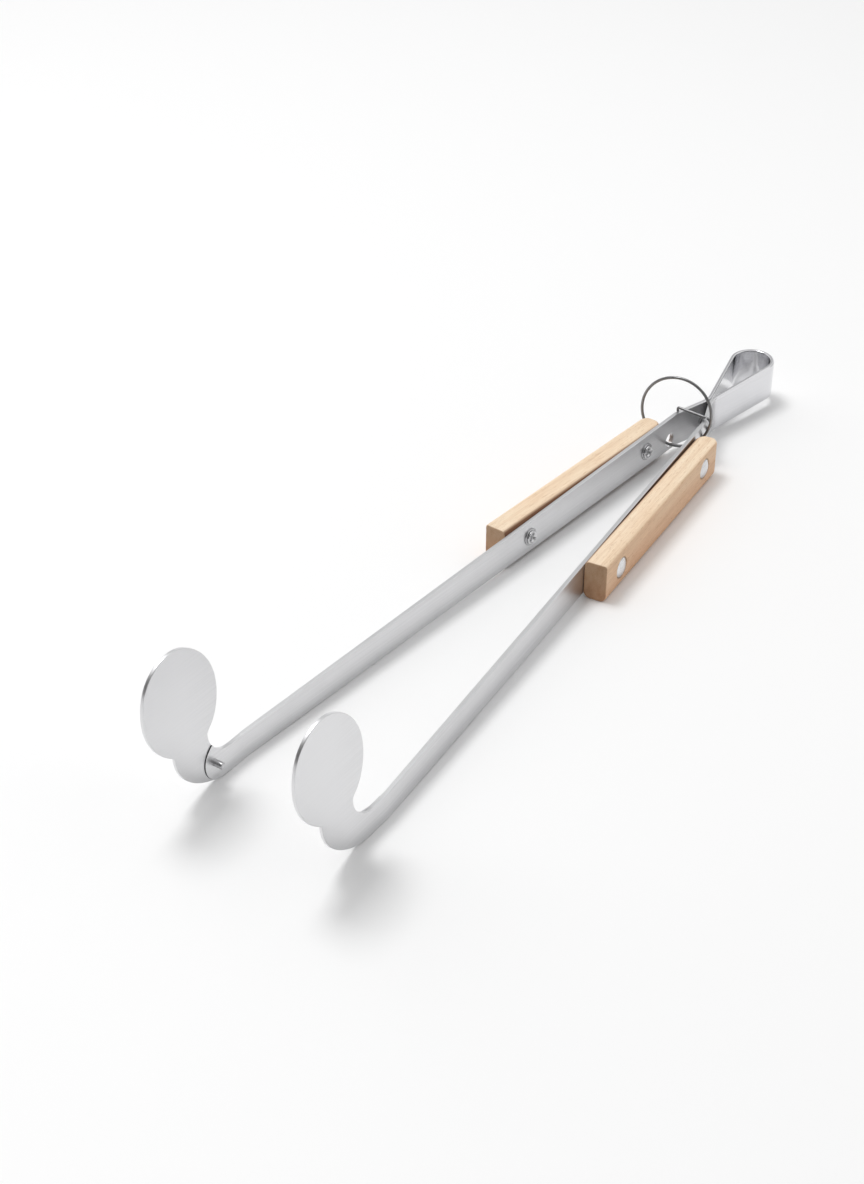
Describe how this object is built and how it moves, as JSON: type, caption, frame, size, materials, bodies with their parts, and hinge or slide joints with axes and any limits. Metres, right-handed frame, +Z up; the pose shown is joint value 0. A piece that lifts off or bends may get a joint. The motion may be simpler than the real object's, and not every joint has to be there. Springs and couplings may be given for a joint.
{
  "type": "spring loaded kitchen tongs",
  "caption": "Long sprung steel tongs with oval upright paddles, riveted wooden grips, a teardrop spring loop, a hanging ring and a wire locking hook.",
  "frame": {"origin": "on the resting surface, under the middle of the tongs' length and width, arms open", "axes": "+X towards the paddles, +Y towards the arm that carries the locking hook, +Z up off the surface"},
  "size_m": [0.3928, 0.0628, 0.0651],
  "materials": {
    "strip_steel": "fine lengthwise brushing",
    "grip_wood": "oiled beech",
    "rivet_steel": "bright",
    "wire_steel": "drawn wire, satin"
  },
  "bodies": {
    "loop": {"spring_loop": "strip_steel"},
    "left_side": {"left_arm": "strip_steel", "left_grip": "grip_wood", "left_front_rivet": "rivet_steel", "left_rear_rivet": "rivet_steel", "left_front_washer": "rivet_steel", "left_rear_washer": "rivet_steel", "stop_pin": "rivet_steel"},
    "right_side": {"right_arm": "strip_steel", "right_grip": "grip_wood", "right_front_rivet": "rivet_steel", "right_rear_rivet": "rivet_steel", "right_front_washer": "rivet_steel", "right_rear_washer": "rivet_steel"},
    "ring": {"hanging_ring": "wire_steel"},
    "hook": {"lock_hook": "wire_steel"}
  },
  "joints": [
    {"name": "left_arm_flex", "type": "hinge", "parent": "loop", "child": "left_side", "pos_m": [-0.14644, -0.00115, 0.011], "axis": [0, 0, 1], "range_deg": [0, 4.9], "stiffness_Nm_per_rad": 8},
    {"name": "right_arm_flex", "type": "hinge", "parent": "loop", "child": "right_side", "pos_m": [-0.14644, 0.00115, 0.011], "axis": [0, 0, -1], "range_deg": [0, 4.9], "stiffness_Nm_per_rad": 8},
    {"name": "ring_swing", "type": "hinge", "parent": "loop", "child": "ring", "pos_m": [-0.12058, -0.00747, 0.00616], "axis": [-0.163, 0.9326, 0.322], "range_deg": [-60, 0]},
    {"name": "hook_lift", "type": "hinge", "parent": "right_side", "child": "hook", "pos_m": [-0.12844, 0.00666, 0.017], "axis": [-1, 0, 0], "range_deg": [0, 80]}
  ],
  "couplings": [
    {"joint": "right_arm_flex", "follows": "left_arm_flex", "ratio": 1}
  ]
}
